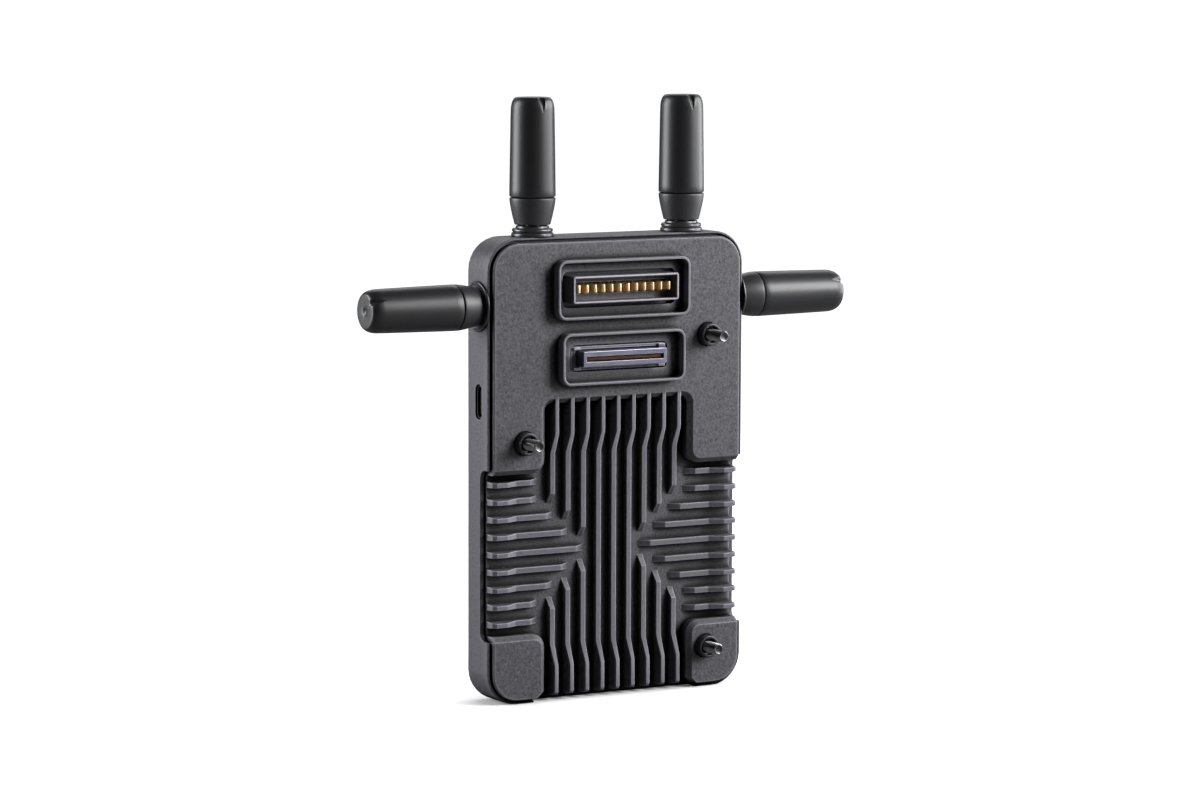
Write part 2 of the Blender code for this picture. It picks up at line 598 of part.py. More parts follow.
def sleeve_solid(profile, inner):
    """Blind tube: outer skin from the seam to the tip, bore back from the seam."""
    b = bmesh.new()
    rings = []
    for r, hgt in inner + profile:
        if r < 1e-6:
            rings.append([b.verts.new((0, 0, hgt * MM))])
        else:
            rings.append([b.verts.new((r * MM * math.cos(2 * math.pi * k / ANT_SEG),
                                       r * MM * math.sin(2 * math.pi * k / ANT_SEG), hgt * MM))
                          for k in range(ANT_SEG)])
    for p, q in zip(rings, rings[1:]):
        for k in range(ANT_SEG):
            m = (k + 1) % ANT_SEG
            if len(p) == 1:
                b.faces.new((p[0], q[k], q[m]))
            elif len(q) == 1:
                b.faces.new((p[k], p[m], q[0]))
            else:
                b.faces.new((p[k], p[m], q[m], q[k]))
    return finish(b, "antenna_sleeve")


def core_mesh(seam):
    return lathe([(0, -5.0), (1.6, -5.0), (2.0, -4.6), (2.0, -2.9), (2.6, -2.9), (2.6, -1.6), (2.0, -1.6),
                  (2.0, seam + 20.0), (0, seam + 20.0)], 20, "antenna_core")


def turned(axis):
    """Rotation that carries +Z onto the antenna's axis."""
    return Vector((0, 0, 1)).rotation_difference(Vector(axis)).to_euler()


PLACES = {
    "top_left": ((-ANT_TOP_X, FACE_H + RIM), (0, 0, 1), True),
    "top_right": ((ANT_TOP_X, FACE_H + RIM), (0, 0, 1), True),
    "side_left": ((-FACE_HALF_W - RIM, ANT_SIDE_Z), (-1, 0, 0), False),
    "side_right": ((FACE_HALF_W + RIM, ANT_SIDE_Z), (1, 0, 0), False),
}
for place, ((x, z), axis, top) in PLACES.items():
    seam = ANT_TOP_SEAM if top else ANT_SIDE_SEAM
    pieces = (("antenna_ring_", ring_mesh(top), RING_MAT),
              ("antenna_collar_", collar_mesh(seam, 3.1 if top else 0.95), COLLAR_MAT),
              ("antenna_sleeve_", sleeve_mesh(seam), ANT_MAT),
              ("antenna_core_", core_mesh(seam), STEM))
    for prefix, mesh, mat in pieces:
        obj = link(prefix + place, mesh, mat)
        obj.location = (x * MM, ANT_Y * MM, z * MM)
        obj.rotation_euler = turned(axis)
        if prefix == "antenna_sleeve_":
            tip = seam + ANT_SLEEVE_L
            # short moulded notch at the tip, on the side toward the face
            notch = bmesh.new()
            bmesh.ops.create_cube(notch, size=1.0)
            mesh_notch = finish(notch, "notch")
            toward = Matrix.Rotation(-math.pi / 2, 4, "Z")
            mesh_notch.transform(toward @ Matrix.Translation((5.75 * MM, 0, (tip - 1.8) * MM))
                                 @ Matrix.Rotation(math.radians(-8), 4, "Y")
                                 @ Matrix.Diagonal((1.3 * MM, 1.7 * MM, 4.0 * MM, 1)))
            combine(obj, [mesh_notch], "DIFFERENCE")
        shade(obj)

# the origin goes to mid thickness of the case's bottom edge
for obj in bpy.data.objects:
    obj.location.y -= ORIGIN_Y * MM
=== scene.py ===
"""Looks for the wireless receiver unit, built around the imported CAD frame."""
import math

import bmesh
import bpy
from mathutils import Matrix, Vector


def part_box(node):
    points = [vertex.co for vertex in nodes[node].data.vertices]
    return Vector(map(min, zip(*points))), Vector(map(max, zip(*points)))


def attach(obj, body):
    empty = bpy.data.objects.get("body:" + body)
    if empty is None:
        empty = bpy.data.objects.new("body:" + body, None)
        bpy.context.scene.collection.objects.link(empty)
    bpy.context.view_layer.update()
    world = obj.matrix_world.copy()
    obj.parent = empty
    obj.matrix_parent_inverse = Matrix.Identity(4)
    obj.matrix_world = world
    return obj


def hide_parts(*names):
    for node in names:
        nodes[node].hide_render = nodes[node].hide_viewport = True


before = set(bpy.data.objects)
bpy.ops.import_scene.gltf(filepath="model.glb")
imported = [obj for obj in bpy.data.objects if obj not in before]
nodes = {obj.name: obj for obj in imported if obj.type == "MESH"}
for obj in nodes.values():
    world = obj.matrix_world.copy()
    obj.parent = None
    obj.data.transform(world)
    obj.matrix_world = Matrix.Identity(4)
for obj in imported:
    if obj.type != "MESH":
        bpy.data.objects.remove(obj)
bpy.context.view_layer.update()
MM = 0.001
FACE_Y = -0.007              # the interface face plane, from the part's origin
PLACES = ("top_left", "top_right", "side_left", "side_right")
SCREWS = ((27.4, 95.7, 8.7), (-28.5, 69.3, 8.1), (27.2, 11.2, 7.3))


# ---------------------------------------------------------------- materials
class Mat:
    """Small helper around one node material."""

    def __init__(self, name):
        self.mat = bpy.data.materials.new(name)
        self.mat.use_nodes = True
        self.tree = self.mat.node_tree
        self.shader = self.tree.nodes["Principled BSDF"]
        self.coord = self.tree.nodes.new("ShaderNodeTexCoord")

    def node(self, kind, **values):
        made = self.tree.nodes.new(kind)
        for key, value in values.items():
            setattr(made, key, value)
        return made

    def link(self, a, b):
        self.tree.links.new(a, b)

    def stretched(self, scale, rotation=(0, 0, 0)):
        m = self.node("ShaderNodeMapping")
        m.inputs["Scale"].default_value = scale
        m.inputs["Rotation"].default_value = rotation
        self.link(self.coord.outputs["Object"], m.inputs["Vector"])
        return m.outputs["Vector"]

    def noise(self, size_mm, detail=3.0, rough=0.5, vector=None, distort=0.0):
        n = self.node("ShaderNodeTexNoise")
        n.inputs["Scale"].default_value = 1000.0 / size_mm if vector is None else 1.0
        n.inputs["Detail"].default_value = detail
        n.inputs["Roughness"].default_value = rough
        n.inputs["Distortion"].default_value = distort
        self.link(self.coord.outputs["Object"] if vector is None else vector, n.inputs["Vector"])
        return n.outputs["Fac"]

    def cells(self, size_mm):
        n = self.node("ShaderNodeTexVoronoi")
        n.inputs["Scale"].default_value = 1000.0 / size_mm
        self.link(self.coord.outputs["Object"], n.inputs["Vector"])
        return n.outputs["Distance"]

    def ramp(self, fac, stops):
        r = self.node("ShaderNodeValToRGB")
        ramp = r.color_ramp
        while len(ramp.elements) < len(stops):
            ramp.elements.new(0.5)
        for e, (at, value) in zip(ramp.elements, stops):
            e.position = at
            e.color = (*value, 1.0) if isinstance(value, tuple) else (value, value, value, 1.0)
        self.link(fac, r.inputs["Fac"])
        return r.outputs["Color"]

    def mix(self, fac, a, b, mode="MIX"):
        m = self.node("ShaderNodeMix", data_type="RGBA", blend_type=mode)
        for socket, value in ((m.inputs[0], fac), (m.inputs[6], a), (m.inputs[7], b)):
            if isinstance(value, (int, float)):
                socket.default_value = value
            elif isinstance(value, tuple):
                socket.default_value = (*value, 1.0)
            else:
                self.link(value, socket)
        return m.outputs[2]

    def bump(self, height, strength, distance_mm, normal=None):
        b = self.node("ShaderNodeBump")
        b.inputs["Strength"].default_value = strength
        b.inputs["Distance"].default_value = distance_mm * MM
        self.link(height, b.inputs["Height"])
        if normal is not None:
            self.link(normal, b.inputs["Normal"])
        return b.outputs["Normal"]

    def edge(self, radius_mm, start, end):
        """1 along convex edges: how far a rounded normal turns away from the face's own."""
        geo = self.node("ShaderNodeNewGeometry")
        dot = self.node("ShaderNodeVectorMath", operation="DOT_PRODUCT")
        self.link(self.rounded(radius_mm), dot.inputs[0])
        self.link(geo.outputs["Normal"], dot.inputs[1])
        return self.ramp(dot.outputs["Value"], [(end, 1.0), (start, 0.0)])

    def thin(self, reach_mm, full, none):
        """1 on thin ribs, lips and corners: how near the piece's own other side is."""
        ao = self.node("ShaderNodeAmbientOcclusion", samples=8, inside=True, only_local=True)
        ao.inputs["Distance"].default_value = reach_mm * MM
        return self.ramp(ao.outputs["AO"], [(full, 1.0), (none, 0.0)])

    def rounded(self, radius_mm):
        bev = self.node("ShaderNodeBevel", samples=6)
        bev.inputs["Radius"].default_value = radius_mm * MM
        return bev.outputs["Normal"]

    def set(self, **sockets):
        names = {"base": "Base Color", "rough": "Roughness", "metal": "Metallic", "normal": "Normal",
                 "coat": "Coat Weight", "coat_rough": "Coat Roughness", "spec": "Specular IOR Level",
                 "aniso": "Anisotropic", "sheen": "Sheen Weight"}
        for key, value in sockets.items():
            socket = self.shader.inputs[names[key]]
            if isinstance(value, (int, float)):
                socket.default_value = value
            elif isinstance(value, tuple):
                socket.default_value = (*value, 1.0)
            else:
                self.link(value, socket)
        return self.mat


def sand_paint(name, colour, rough, grain_mm=0.60, contrast=0.72, bump=0.80, reach_mm=3.5, highlight_gain=1.0):
    """Fine-sand satin paint over cast metal, with painted shade in the crevices and painted highlights along the edges
    and thin ribs.
    """
    m = Mat(name)
    fine = m.noise(grain_mm, 2.0, 0.6)
    coarse = m.noise(grain_mm * 2.3, 2.0, 0.5)
    grit = m.cells(grain_mm * 0.8)
    broad = m.noise(14.0, 3.0, 0.55)
    lo = tuple(c * (1 - contrast) for c in colour)
    hi = tuple(c * (1 + contrast) for c in colour)
    base = m.ramp(fine, [(0.30, lo), (0.70, hi)])
    base = m.mix(m.ramp(coarse, [(0.35, 0.0), (0.70, 0.45)]), base, tuple(c * 1.25 for c in colour))
    base = m.mix(m.ramp(broad, [(0.3, 0.0), (0.75, 0.30)]), base, tuple(c * 1.10 for c in colour))
    specks = m.ramp(grit, [(0.0, 1.0), (0.16, 0.0)])
    base = m.mix(m.mix(0.5, (0.0, 0.0, 0.0), specks), base, tuple(min(1.0, c * 2.2) for c in colour))
    # painted highlight: thin ribs, lips and fin fronts are lightened to stand in for light caught on their rounded
    # fronts
    rib_highlight = m.thin(1.15, 0.62, 0.93)
    base = m.mix(m.mix(highlight_gain, (0.0, 0.0, 0.0), rib_highlight), base, tuple(min(1.0, c * 2.15) for c in colour))
    # painted highlight: a bright line painted along convex edges
    edge_highlight = m.edge(0.26, 0.97, 0.82)
    base = m.mix(m.mix(0.25 + 0.75 * highlight_gain, (0.0, 0.0, 0.0), edge_highlight), base, tuple(min(1.0, c * 8.5) for c in colour))
    # painted shade: ambient occlusion darkens crevices, recesses and the gaps between fins, and also roughens them and
    # lowers their specular
    shade = m.node("ShaderNodeAmbientOcclusion", samples=8)
    shade.inputs["Distance"].default_value = reach_mm * MM
    painted_crevice_shade = m.ramp(shade.outputs["AO"], [(0.32, 0.0), (0.43, 0.17), (0.56, 0.66), (0.74, 1.0)])
    base = m.mix(1.0, base, painted_crevice_shade, "MULTIPLY")
    # painted contact shade: a short-reach occlusion darkens the surface right beside walls and fin feet
    contact_shade_ao = m.node("ShaderNodeAmbientOcclusion", samples=8)
    contact_shade_ao.inputs["Distance"].default_value = 1.9 * MM
    seat = m.ramp(contact_shade_ao.outputs["AO"], [(0.60, 0.0), (0.91, 1.0)])
    base = m.mix(1.0, base, seat, "MULTIPLY")
    roughness = m.ramp(fine, [(0.25, rough - 0.10), (0.75, rough + 0.10)])
    roughness = m.mix(painted_crevice_shade, (0.95, 0.95, 0.95), roughness)
    normal = m.bump(fine, bump, 0.06, m.rounded(0.30))
    normal = m.bump(broad, 0.05, 0.25, normal)
    return m.set(base=base, rough=roughness, metal=0.1, normal=normal,
                 spec=m.ramp(shade.outputs["AO"], [(0.30, 0.02), (0.60, 0.40)]))


def satin_black(name, colour, rough, grain_mm=0.30, metal=0.0, spec=0.5, bump=0.12, coat=0.0, rim_highlight=None):
    """Black satin moulding or coating with a faint grain and handling marks, and an optional painted highlight on thin
    lips.
    """
    m = Mat(name)
    fine = m.noise(grain_mm, 3.0, 0.6)
    streak = m.noise(1.0, 4.0, 0.6, vector=m.stretched((90.0, 90.0, 22.0)))
    lo = tuple(c * 0.7 for c in colour)
    hi = tuple(c * 1.4 for c in colour)
    base = m.ramp(fine, [(0.3, lo), (0.72, hi)])
    base = m.mix(m.ramp(streak, [(0.45, 0.0), (0.85, 0.5)]), base, tuple(c * 1.6 for c in colour))
    # painted highlight: thin lips and edges are lightened toward the rim_highlight colour
    if rim_highlight:
        base = m.mix(m.thin(rim_highlight[0], 0.55, 0.85), base, rim_highlight[1])
    r = m.mix(0.5, m.ramp(fine, [(0.25, rough - 0.06), (0.75, rough + 0.06)]),
              m.ramp(streak, [(0.3, rough - 0.05), (0.8, rough + 0.10)]))
    return m.set(base=base, rough=r, metal=metal, normal=m.bump(fine, bump, 0.03), spec=spec,
                 coat=coat, coat_rough=0.25)


def metal(name, colour, rough, size_mm=0.5, stretch=(1, 1, 1), variation=0.25, bump=0.10, dirt=0.35,
          dirt_size=1.6, metallic=1.0, rim_highlight=None):
    """Bare or plated metal: machining streaks, tarnish in broad patches, uneven gloss, and an optional painted
    highlight on thin lips and chamfers.
    """
    m = Mat(name)
    scale = tuple(1000.0 / size_mm * s for s in stretch)
    streak = m.noise(1.0, 3.0, 0.6, vector=m.stretched(scale))
    patch = m.noise(dirt_size, 3.0, 0.6)
    lo = tuple(c * (1 - variation) for c in colour)
    base = m.ramp(streak, [(0.3, lo), (0.7, colour)])
    base = m.mix(m.ramp(patch, [(0.50, 0.0), (0.80, dirt)]), base, tuple(c * 0.45 for c in colour))
    # painted highlight: thin lips and chamfers are lightened toward the rim_highlight colour
    if rim_highlight:
        base = m.mix(m.thin(rim_highlight[0], rim_highlight[2], rim_highlight[3]), base, rim_highlight[1])
    r = m.mix(0.5, m.ramp(streak, [(0.3, rough - 0.06), (0.7, rough + 0.10)]),
              m.ramp(patch, [(0.4, rough), (0.8, rough + 0.15)]))
    return m.set(base=base, rough=r, metal=metallic, normal=m.bump(streak, bump, 0.02))


SHELL = sand_paint("shell_sand_paint", (0.062, 0.061, 0.070), 0.52, highlight_gain=0.25)
PLATE = sand_paint("plate_sand_paint", (0.062, 0.061, 0.070), 0.50)
RUBBER = satin_black("seam_rubber", (0.075, 0.075, 0.080), 0.80, spec=0.2)
SLEEVE = satin_black("anodised_sleeve", (0.045, 0.044, 0.049), 0.36, metal=0.6, spec=0.6)
RING = satin_black("antenna_ring_satin", (0.050, 0.050, 0.055), 0.30, metal=0.55, spec=0.6)
COLLAR = satin_black("antenna_collar_satin", (0.020, 0.020, 0.022), 0.42, spec=0.5)
ANTENNA = satin_black("antenna_moulding", (0.012, 0.012, 0.0135), 0.41, spec=0.44, bump=0.16, coat=0.05)
# SOCKET, TIN and STEEL get painted highlights on their thin lips, edges and screw-tip chamfers through rim_highlight
SOCKET = satin_black("socket_moulding", (0.070, 0.068, 0.082), 0.42, spec=0.55, bump=0.2, rim_highlight=(0.45, (0.62, 0.60, 0.68)))
GOLD = metal("gold_plating", (1.0, 0.75, 0.42), 0.32, 0.4, (1, 1, 0.15), 0.18, 0.06, 0.45, 1.1, 0.72)
COPPER = metal("contact_tongue_copper", (0.085, 0.042, 0.026), 0.42, 0.35, (0.2, 1, 1), 0.4, 0.15, 0.6)
TIN = metal("connector_plating", (0.215, 0.215, 0.275), 0.34, 0.5, (0.15, 1, 1), 0.15, 0.10, 0.25, rim_highlight=(0.30, (0.75, 0.75, 0.88), 0.55, 0.80))
PORT = metal("port_plating", (0.030, 0.030, 0.033), 0.40, 0.5, (1, 1, 0.2), 0.2, 0.10, 0.25)
STEEL = metal("screw_steel", (0.075, 0.075, 0.078), 0.30, 0.35, (1, 1, 1), 0.35, 0.15, 0.5, rim_highlight=(0.24, (0.46, 0.46, 0.48), 0.66, 0.92))
STEM = metal("stem_nickel_finish", (0.060, 0.058, 0.060), 0.30, 0.3, (1, 1, 6), 0.2, 0.12, 0.4)
CAN = metal("tinned_sheet", (0.60, 0.60, 0.58), 0.36, 0.8, (0.2, 1, 1), 0.15, 0.1, 0.3)


def board_material():
    m = Mat("board_mask")
    lines = m.node("ShaderNodeTexBrick")
    lines.inputs["Scale"].default_value = 160.0
    lines.inputs["Color1"].default_value = (0.012, 0.085, 0.040, 1)
    lines.inputs["Color2"].default_value = (0.018, 0.110, 0.050, 1)
    lines.inputs["Mortar"].default_value = (0.035, 0.16, 0.08, 1)
    lines.inputs["Mortar Size"].default_value = 0.03
    vec = m.stretched((1, 1, 1), (math.pi / 2, 0, 0))
    m.link(vec, lines.inputs["Vector"])
    fine = m.noise(0.6, 3.0, 0.6)
    return m.set(base=lines.outputs["Color"], rough=m.ramp(fine, [(0.3, 0.35), (0.7, 0.5)]),
                 normal=m.bump(lines.outputs["Fac"], 0.2, 0.03), coat=0.3, coat_rough=0.3)


def pad_material():
    m = Mat("thermal_pad_gel")
    fine = m.noise(0.5, 4.0, 0.65)
    return m.set(base=m.ramp(fine, [(0.3, (0.28, 0.30, 0.34)), (0.7, (0.38, 0.41, 0.46))]), rough=0.85,
                 normal=m.bump(fine, 0.4, 0.08))


BOARD, PAD = board_material(), pad_material()
CHIP = satin_black("chip_package", (0.020, 0.020, 0.022), 0.5)

FINISH = {
    "outer_shell": SHELL, "heat_sink_plate": PLATE, "main_board": BOARD, "rf_shield_can": CAN,
    "processor_chip": CHIP, "thermal_pad": PAD, "power_connector_body": SOCKET,
    "data_connector_base": SOCKET, "data_connector_shell": TIN, "data_connector_tongue": COPPER,
    "usb_c_shell": PORT, "usb_c_tongue": CHIP,
}
for name, obj in nodes.items():
    mat = FINISH.get(name)
    if mat is None:
        for start, value in (("seam_gasket", RUBBER), ("power_contact", GOLD), ("data_connector_tab", TIN),
                             ("captive_screw_sleeve", SLEEVE), ("captive_screw", STEEL), ("case_screw", STEEL),
                             ("antenna_ring", RING), ("antenna_collar", COLLAR), ("antenna_sleeve", ANTENNA),
                             ("antenna_core", STEM)):
            if name.startswith(start):
                mat = value
                break
    obj.data.materials.clear()
    obj.data.materials.append(mat)
    for p in obj.data.polygons:
        p.material_index = 0


def soften(name, width_mm, segments=2, angle=30.0):
    """Weld the imported mesh and round its edges a little."""
    obj = nodes[name]
    weld = obj.modifiers.new("weld", "WELD")
    weld.merge_threshold = 0.000002
    flat = obj.modifiers.new("flat", "DECIMATE")
    flat.decimate_type = "DISSOLVE"
    flat.angle_limit = math.radians(0.6)
    bev = obj.modifiers.new("bevel", "BEVEL")
    bev.width = width_mm * MM
    bev.segments = segments
    bev.limit_method = "ANGLE"
    bev.angle_limit = math.radians(angle)
    bev.use_clamp_overlap = True
    bev.miter_outer = "MITER_ARC"
    even = obj.modifiers.new("even", "WEIGHTED_NORMAL")
    even.mode = "FACE_AREA"
    even.weight = 100
    even.keep_sharp = False
    for p in obj.data.polygons:
        p.use_smooth = True


soften("outer_shell", 0.12)
soften("heat_sink_plate", 0.12)
for name in ("power_connector_body", "data_connector_base"):
    soften(name, 0.10)
for name in ("data_connector_shell", "data_connector_tongue", "usb_c_shell", "usb_c_tongue"):
    soften(name, 0.07)
for name in nodes:
    if name.startswith("data_connector_tab") or name.startswith("case_screw"):
        soften(name, 0.05)
for name in ("main_board", "rf_shield_can", "processor_chip", "thermal_pad"):
    soften(name, 0.12, 1)


# ---------------------------------------------------------------- new pieces
def to_object(bm, name, mat, smooth=40.0):
    bmesh.ops.recalc_face_normals(bm, faces=bm.faces)
    mesh = bpy.data.meshes.new(name)
    bm.to_mesh(mesh)
    bm.free()
    mesh.materials.append(mat)
    mesh.polygons.foreach_set("use_smooth", [True] * len(mesh.polygons))
    mesh.set_sharp_from_angle(angle=math.radians(smooth))
    obj = bpy.data.objects.new(name, mesh)
    bpy.context.scene.collection.objects.link(obj)
    return obj


def fillet(profile, radii, steps=4):
    """Round chosen corners of an open (r, h) profile."""
    out = []
    for i, (r, h) in enumerate(profile):
        size = radii.get(i, 0.0)
        if size <= 0 or i == 0 or i == len(profile) - 1:
            out.append((r, h))
            continue
        p = Vector((r, h))
        a = (Vector(profile[i - 1]) - p)
        b = (Vector(profile[i + 1]) - p)
        la, lb = min(size, a.length * 0.49), min(size, b.length * 0.49)
        pa, pb = p + a.normalized() * la, p + b.normalized() * lb
        for k in range(steps + 1):
            t = k / steps
            q = pa * (1 - t) ** 2 + p * 2 * t * (1 - t) + pb * t * t
            out.append((q.x, q.y))
    return out


def turn(profile, segments, closed=True):
    """bmesh of a solid of revolution about +Z, profile in mm."""
    bm = bmesh.new()
    rings = []
    for r, h in profile:
        if r < 1e-6:
            rings.append([bm.verts.new((0, 0, h * MM))])
        else:
            rings.append([bm.verts.new((r * MM * math.cos(2 * math.pi * k / segments),
                                        r * MM * math.sin(2 * math.pi * k / segments), h * MM))
                          for k in range(segments)])
    pairs = list(zip(rings, rings[1:]))
    if closed and len(rings[0]) > 1 and len(rings[-1]) > 1:
        pairs.append((rings[-1], rings[0]))
    for a, b in pairs:
        for k in range(segments):
            m = (k + 1) % segments
            if len(a) == 1 and len(b) == 1:
                continue
            if len(a) == 1:
                bm.faces.new((a[0], b[k], b[m]))
            elif len(b) == 1:
                bm.faces.new((a[k], a[m], b[0]))
            else:
                bm.faces.new((a[k], a[m], b[m], b[k]))
    return bm


def place(obj, where, axis):
    obj.matrix_world = (Matrix.Translation(where)
                        @ Vector((0, 0, 1)).rotation_difference(Vector(axis)).to_matrix().to_4x4())
    return obj


ANT_SPOTS = {
    "top_left": ((-0.0228, FACE_Y + 0.0063, 0.1232), (0, 0, 1), 10.3),
    "top_right": ((0.0228, FACE_Y + 0.0063, 0.1232), (0, 0, 1), 10.3),
    "side_left": ((-0.0390, FACE_Y + 0.0063, 0.1053), (-1, 0, 0), 7.0),
    "side_right": ((0.0390, FACE_Y + 0.0063, 0.1053), (1, 0, 0), 7.0),
}
SEG = 96


def antenna_sleeve(where, axis, seam, name):
    """Tapered cap with a rounded tip, a pointed scallop and a small dimple in its end."""
    tip = seam + 26.2
    prof = [(2.35, seam + 0.12), (5.80, seam + 0.12), (6.00, seam + 0.20), (6.10, seam + 0.42),
            (6.09, seam + 2.0), (6.03, seam + 6.0), (5.97, seam + 10.0), (5.91, seam + 14.0),
            (5.84, seam + 18.0), (5.80, tip - 5.4), (5.77, tip - 4.4), (5.75, tip - 3.6)]
    for k in range(1, 19):
        a = math.radians(5.0 * k)
        prof.append((4.15 + 1.6 * math.cos(a), tip - 3.6 + 3.6 * math.sin(a) ** 0.94))
    prof += [(3.2, tip), (2.2, tip), (1.2, tip - 0.02), (0.9, tip - 0.10), (0.72, tip - 0.30),
             (0.35, tip - 0.38), (0.0, tip - 0.40)]
    bm = bmesh.new()
    rings = []
    aim = Vector((0, -1, 0))
    turn_m = Vector((0, 0, 1)).rotation_difference(Vector(axis)).to_matrix()
    local = turn_m.inverted() @ aim
    if axis[0] != 0:
        lift = Matrix.Rotation(math.radians(30.0) * axis[0], 3, "Z")
        up = turn_m.inverted() @ Vector((0, 0, 1))
        local = (local * math.cos(math.radians(35)) + up * math.sin(math.radians(35))).normalized()
    face = math.atan2(local.y, local.x)
    start = tip - 3.9
    # extra rings through the scallop
    dense = []
    for (r0, h0), (r1, h1) in zip(prof, prof[1:]):
        dense.append((r0, h0))
        if h1 > start - 0.5 and h0 < tip - 0.05 and h1 - h0 > 0.3:
            n = int((h1 - h0) / 0.25)
            for i in range(1, n):
                t = i / n
                dense.append((r0 + (r1 - r0) * t, h0 + (h1 - h0) * t))
    dense.append(prof[-1])
    angles = []
    k = 0
    for i in range(SEG):
        angles.append(face + 2 * math.pi * i / SEG)
    fine = [face + math.radians(d) for d in (-9.5, -8.0, -6.5, -5.0, -2.5, -1.2, 1.2, 2.5, 5.0, 6.5, 8.0, 9.5)]
    angles = sorted(set(round((a - face + math.pi) % (2 * math.pi) - math.pi, 6) for a in angles + fine))
    for r, h in dense:
        if r < 1e-6:
            rings.append([bm.verts.new((0, 0, h * MM))])
            continue
        ring = []
        for da in angles:
            rr = r
            if h > start and r > 2.6:
                t = min(1.0, (h - start) / 3.4)
                half = 0.98 * t ** 0.8                      # half width in mm
                s = abs(da) * r
                if s < half:
                    depth = 0.85 * t * (1.0 - (s / half) ** 2.2)
                    rr = r - depth
            ring.append(bm.verts.new((rr * MM * math.cos(face + da), rr * MM * math.sin(face + da), h * MM)))
        rings.append(ring)
    inner = []
    for r, h in ((2.35, tip - 5.0), (0.0, tip - 5.0)):
        if r < 1e-6:
            inner.append([bm.verts.new((0, 0, h * MM))])
        else:
            inner.append([bm.verts.new((r * MM * math.cos(face + da), r * MM * math.sin(face + da), h * MM))
                          for da in angles])
    rings = [inner[1], inner[0]] + rings
    n = len(angles)
    for a, b in zip(rings, rings[1:]):
        for k in range(n):
            m = (k + 1) % n
            if len(a) == 1:
                bm.faces.new((a[0], b[k], b[m]))
            elif len(b) == 1:
                bm.faces.new((a[k], a[m], b[0]))
            else:
                bm.faces.new((a[k], a[m], b[m], b[k]))
    return place(to_object(bm, name, ANTENNA, 38.0), where, axis)


for key, (where, axis, seam) in ANT_SPOTS.items():
    top = seam > 8
    body = "antenna_" + key
    sleeve = antenna_sleeve(where, axis, seam, "antenna_cap_" + key)
    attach(sleeve, body)
    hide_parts("antenna_sleeve_" + key)
    start = 3.1 if top else 0.95
    neck = [(seam - 7.25, 4.4), (seam - 6.9, 4.8), (seam - 4.7, 5.35), (seam - 2.7, 5.78), (seam - 1.3, 6.0)]
    skirt = [(r, u) for u, r in neck if u > start + 0.2]
    if len(skirt) < len(neck) - 1:
        skirt = [(skirt[0][0] - 0.35, start)] + skirt
    prof = [(2.35, start), (skirt[0][0] - 0.12, start)] + skirt + [(6.1, seam - 0.30), (5.95, seam - 0.12),
                                                                   (2.35, seam - 0.12)]
    collar = to_object(turn(fillet(prof, {1: 0.15, 2: 0.5, 3: 0.9, 4: 0.9, 5: 0.9, 6: 0.6, len(prof) - 2: 0.12}), SEG),
                       "antenna_neck_" + key, COLLAR, 42.0)
    place(collar, where, axis)
    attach(collar, body)
    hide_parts("antenna_collar_" + key)
    if top:
        prof = [(2.3, 0.1), (5.6, 0.1), (5.6, 0.75), (5.4, 1.0), (5.05, 1.15), (5.4, 1.35), (5.4, 1.9),
                (5.15, 2.15), (4.4, 2.25), (4.35, 2.8), (2.3, 2.8)]
        radii = {1: 0.1, 2: 0.3, 3: 0.2, 4: 0.12, 5: 0.25, 6: 0.3, 7: 0.25, 8: 0.15, 9: 0.15}
    else:
        prof = [(2.3, 0.1), (6.6, 0.1), (6.6, 0.4), (6.4, 0.65), (6.0, 0.65), (5.8, 0.45), (2.3, 0.45)]
        radii = {1: 0.1, 2: 0.25, 3: 0.25, 4: 0.12, 5: 0.1}
    ring = to_object(turn(fillet(prof, radii), SEG), "antenna_seat_" + key, RING, 42.0)
    place(ring, where, axis)
    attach(ring, "case")
    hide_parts("antenna_ring_" + key)
    prof = [(0, -5.0), (1.6, -5.0), (2.0, -4.6), (2.0, -2.9), (2.6, -2.9), (2.6, -1.6), (2.0, -1.6),
            (2.0, seam + 19.9), (0, seam + 19.9)]
    core = to_object(turn(fillet(prof, {2: 0.2, 4: 0.12, 5: 0.12, 7: 0.2}), 64), "antenna_stem_" + key, STEM, 42.0)
    place(core, where, axis)
    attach(core, body)
    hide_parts("antenna_core_" + key)


